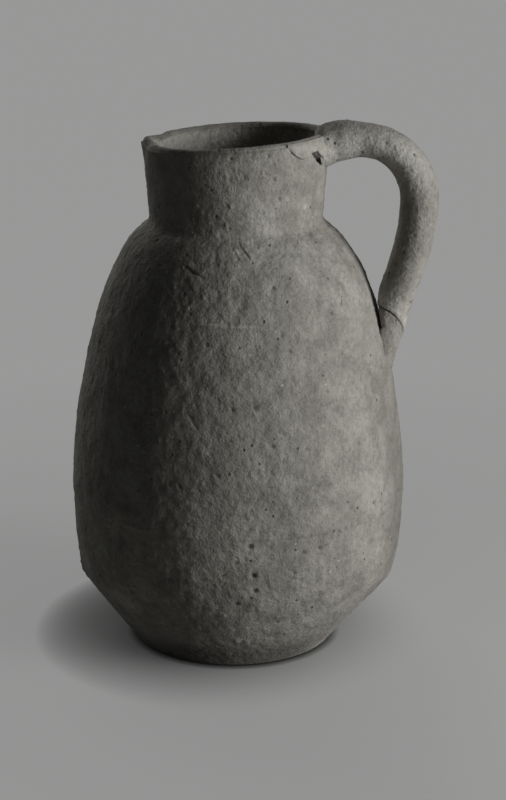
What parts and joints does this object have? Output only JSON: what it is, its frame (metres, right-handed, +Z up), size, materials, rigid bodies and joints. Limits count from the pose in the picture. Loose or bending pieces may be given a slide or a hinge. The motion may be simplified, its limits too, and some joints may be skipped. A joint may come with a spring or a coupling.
{
  "type": "ceramic jug",
  "caption": "Round-bodied handled jug of coarse unglazed clay, with a low trimmed foot, a short flared neck and a small pinched lip, for holding and pouring liquids.",
  "frame": {"origin": "where the jug's turning axis meets the plane it stands on, on the underside of the base disc", "axes": "+Z up along the turning axis, +X towards the handle, -X towards the pouring lip, +Y to the right-handed side; the handle and the lip lie in the plane y = 0"},
  "size_m": [0.1772, 0.1628, 0.2587],
  "materials": {
    "clay": "unglazed coarse fired clay, matte and pitted",
    "luting_clay": "smeared luting clay, fired and matte",
    "mending_clay": "pale matte mending layer in an old break"
  },
  "bodies": {
    "root": {"base_disc": "clay", "foot_wall": "clay", "belly_wall": "clay", "shoulder_wall": "clay", "neck": "clay", "near_luting": "luting_clay", "far_luting": "luting_clay", "handle_arm": "clay", "break_mend": "mending_clay", "handle_stub": "clay"}
  },
  "joints": []
}
